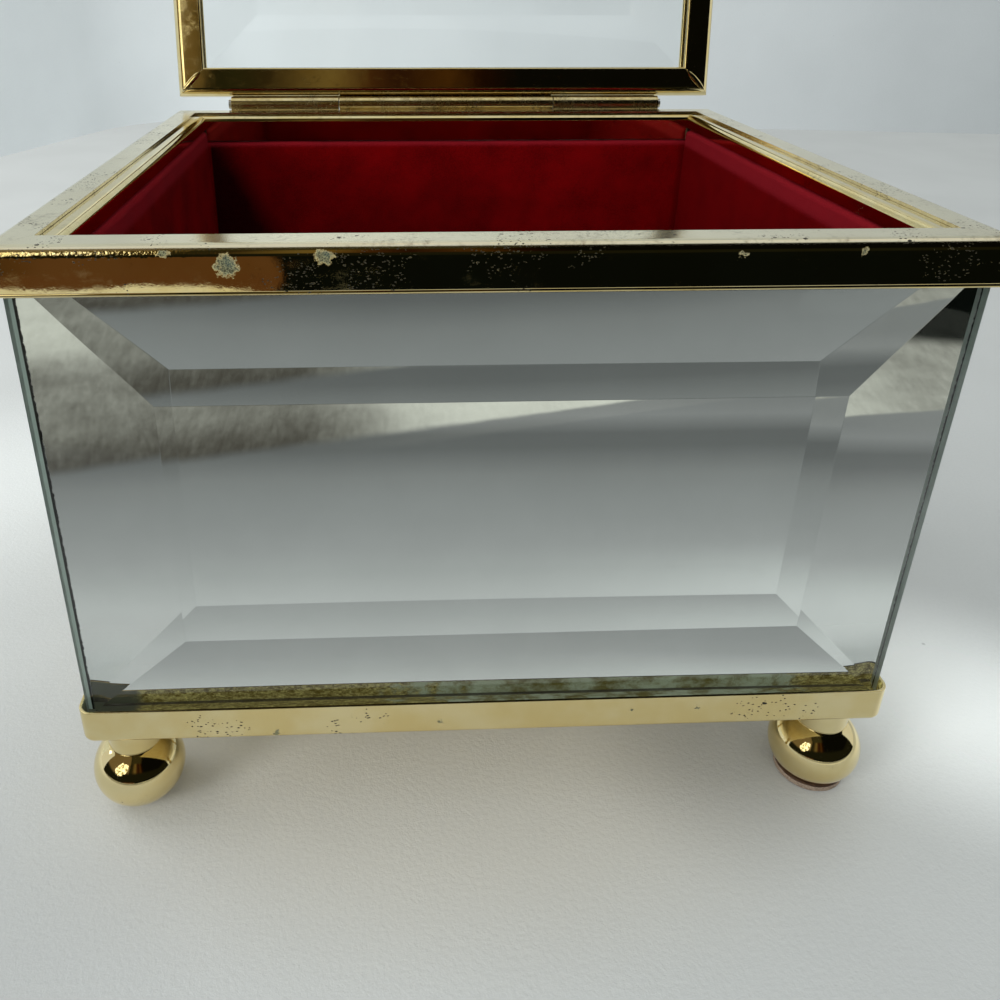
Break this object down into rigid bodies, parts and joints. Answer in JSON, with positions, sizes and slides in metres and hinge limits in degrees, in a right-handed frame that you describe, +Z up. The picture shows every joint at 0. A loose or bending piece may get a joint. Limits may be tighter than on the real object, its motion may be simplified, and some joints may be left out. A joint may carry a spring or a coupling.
{
  "type": "glass casket box",
  "caption": "Square casket of bevelled mirror panes held in a gilt brass rim and pressed tray on ball feet, velvet lined, with a hinged clear glass lid.",
  "frame": {"origin": "on the floor, under the middle of the open casket's bounding box", "axes": "+Z up, -Y is the front, the lid's hinge runs along X at the back"},
  "size_m": [0.1106, 0.1228, 0.1812],
  "materials": {
    "gilt_brass": "thin gilt plating over brass, polished, pitted and spotted with verdigris",
    "plate_glass": "polished plate glass with wide ground bevels and ground grey-green edges",
    "silvering": "silvering under grey backing paint, ragged and dark along the edges",
    "cement": "dark set cement",
    "card": "dense grey-brown pressed card",
    "steel": "plain steel",
    "felt": "pressed wool felt, pinkish grey",
    "velvet": "deep red pile velvet over card"
  },
  "bodies": {
    "box": {"base_tray": "gilt_brass", "foot_front_left": "gilt_brass", "foot_front_right": "gilt_brass", "foot_back_left": "gilt_brass", "foot_back_right": "gilt_brass", "rim_front": "gilt_brass", "rim_back": "gilt_brass", "rim_left": "gilt_brass", "rim_right": "gilt_brass", "trim_front": "gilt_brass", "trim_back": "gilt_brass", "trim_left": "gilt_brass", "trim_right": "gilt_brass", "hinge_box_leaf": "gilt_brass", "pane_front": "plate_glass", "pane_back": "plate_glass", "pane_left": "plate_glass", "pane_right": "plate_glass", "silver_front": "silvering", "silver_back": "silvering", "silver_left": "silvering", "silver_right": "silvering", "seam_front_left": "cement", "seam_front_right": "cement", "seam_back_left": "cement", "seam_back_right": "cement", "base_board": "card", "packing_frame": "card", "foot_screws": "steel", "hinge_pin": "steel", "pad_front_left": "felt", "pad_front_right": "felt", "pad_back_left": "felt", "pad_back_right": "felt", "lining_front": "velvet", "lining_back": "velvet", "lining_left": "velvet", "lining_right": "velvet", "lining_floor": "velvet"},
    "lid": {"hinge_lid_leaf": "gilt_brass", "lid_rail_front": "gilt_brass", "lid_rail_back": "gilt_brass", "lid_rail_left": "gilt_brass", "lid_rail_right": "gilt_brass", "lid_pane": "plate_glass"}
  },
  "joints": [
    {"name": "lid_hinge", "type": "hinge", "parent": "box", "child": "lid", "pos_m": [0, 0.03934, 0.0835], "axis": [-1, 0, 0], "range_deg": [-100, 0]}
  ]
}
